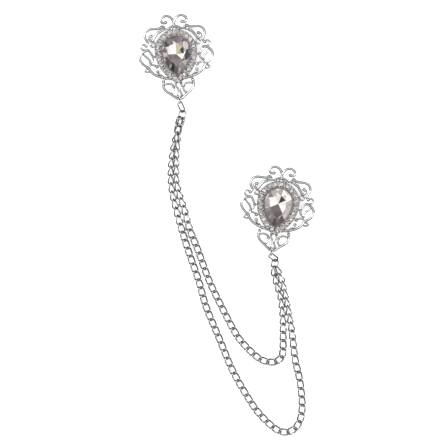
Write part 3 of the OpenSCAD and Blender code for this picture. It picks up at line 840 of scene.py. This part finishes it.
# painted reflections: each facet of a small stone gets a tone by chance; steep and lower facets are dark
def paint_small_reflections(bm, seed):
    paint = bm.loops.layers.float_color.new("facet")
    for face in bm.faces:
        chance = chance_at(face, seed)
        mix = TABLE_REFLECTION_MIX if face.normal.z > LEVEL else SLOPE_REFLECTION_MIX if face.normal.z > SLOPING else ["dark"]
        paint_reflection(face, paint, REFLECTED_TONES[chance.choice(mix)], chance.uniform(*SMALL_SPREAD))


# %% The stones of both halos
for which in BROOCHES:
    bm = bmesh.new()
    chance = random.Random(which)
    for x, y in round_the_halo(HALO_MID, 0.5):
        turned = Matrix.Rotation(chance.uniform(0, math.pi / 4), 4, "Z")
        small_stone(bm, Matrix.Translation((x, y, FRAME_BACK + HALO_H)) @ turned)
    bmesh.ops.recalc_face_normals(bm, faces=bm.faces)
    paint_small_reflections(bm, which)
    bmesh.ops.transform(bm, matrix=brooch_place(which), verts=bm.verts)
    finish_piece(which + "_small_stones", bm, small_glass, [which + "_halo_stones"])

# %% [markdown]
# ## Links and rings
# Every link of a curb chain is the same loop of round wire: two straight sides, two round
# ends, twisted so that the chain lies flat. The loop is made once for each kind and laid on
# every solid of the chain in its own lie. The oval link and the jump ring under each brooch
# are the same kind of loop without the twist.

# %% Loop of wire
LINK_WIRE, RING_WIRE = 0.6, 0.56
LINK_L, LINK_W, LINK_TWIST = 4.45, 2.85, 50  # mm, mm, degrees
OVAL_L, OVAL_W, RING_D = 5.0, 2.3, 3.8
LINK_STATIONS, LINK_SIDES = 16, 6
RING_STATIONS, RING_SIDES = 24, 10


def wire_loop(length, width, wire, twist, stations, sides):
    """A closed loop in mm, its length along X, twisted about X by so many degrees each way."""
    reach, round_r = (length - wire) / 2, (width - wire) / 2
    line, ups = [], []
    for end in (1, -1):
        for i in range(stations // 2):
            a = math.pi * (i / (stations // 2 - 1) - 0.5)
            x, y = end * (reach - round_r + round_r * math.cos(a)), end * round_r * math.sin(a)
            turn = math.radians(twist) * x / reach
            line.append(Vector((x, y * math.cos(turn), y * math.sin(turn))))
            ups.append(Vector((0, -math.sin(turn), math.cos(turn))))
    bm = bmesh.new()
    bend_wire(bm, stations_on(line, ups, closed=True), wire, wire, sides, closed=True)
    loop = bpy.data.meshes.new("loop")
    bm.to_mesh(loop)
    bm.free()
    return loop


def lay_loops(name, loop, node):
    bm = bmesh.new()
    for solid in solids_of(node):
        before = set(bm.verts)
        bm.from_mesh(loop)
        new = [point for point in bm.verts if point not in before]
        bmesh.ops.transform(bm, matrix=lie_of(solid) @ Matrix.Scale(MM, 4), verts=new)
    finish_piece(name, bm, chain_metal, [node], 60)


# %% Both chains, both oval links and both rings
chain_link = wire_loop(LINK_L, LINK_W, LINK_WIRE, LINK_TWIST, LINK_STATIONS, LINK_SIDES)
oval_link = wire_loop(OVAL_L, OVAL_W, RING_WIRE, 0, RING_STATIONS, RING_SIDES)
jump_ring = wire_loop(RING_D, RING_D, RING_WIRE, 0, RING_STATIONS, RING_SIDES)
for name in ("long", "short"):
    lay_loops(name + "_strand", chain_link, name + "_chain")
for which in BROOCHES:
    lay_loops(which + "_oval", oval_link, which + "_oval_link")
    lay_loops(which + "_ring", jump_ring, which + "_jump_ring")

# %% [markdown]
# ## Back fittings
# The back can't be seen in the photograph. A plain bar fitting is the usual one: a flat bar
# soldered across the back, a rolled hinge at one end, a rolled catch at the other and a
# straight pin between them.

# %% Bar, two rolls and pin
BAR_L, BAR_W, BAR_T, ROLL_D, PIN_D = 15.0, 3.0, 0.5, 2.2, 0.8
BAR_TOP = FRAME_BACK - 0.05
BAR_BEVEL, POST_BEVEL = 0.12, 0.1


def rounded_box(bm, size, middle, bevel):
    place = Matrix.Translation(middle) @ Matrix.Diagonal((*size, 1))
    box = bmesh.ops.create_cube(bm, size=1, matrix=place)["verts"]
    edges = edges_of(box)
    bmesh.ops.bevel(bm, geom=edges, offset=bevel, segments=2, affect="EDGES", profile=0.5, material=-1)


def rod(bm, diameter, length, middle, axis, sides, thin_end=1.0):
    place = Matrix.Translation(middle) @ Vector(axis).to_track_quat("Z", "Y").to_matrix().to_4x4()
    bmesh.ops.create_cone(bm, cap_ends=True, segments=sides, radius1=diameter / 2,
                          radius2=thin_end * diameter / 2, depth=length, matrix=place)


for which in BROOCHES:
    bm = bmesh.new()
    rounded_box(bm, (BAR_L, BAR_W, BAR_T), (0, STONE_Y, BAR_TOP - BAR_T / 2), BAR_BEVEL)
    reach = (BAR_L - ROLL_D) / 2
    for x in (-reach, reach):
        rod(bm, ROLL_D, BAR_W, (x, STONE_Y, ROLL_D / 2), (0, 1, 0), 32)
        post = BAR_TOP - BAR_T / 2 - ROLL_D / 2
        rounded_box(bm, (ROLL_D / 2, BAR_W, post), (x, STONE_Y, ROLL_D / 2 + post / 2), POST_BEVEL)
    rod(bm, PIN_D, 2 * reach, (0, STONE_Y, ROLL_D / 2), (1, 0, 0), 20)
    bmesh.ops.transform(bm, matrix=brooch_place(which), verts=bm.verts)
    finish_piece(which + "_fitting", bm, cast_metal, [which + "_back_pin"], 35)
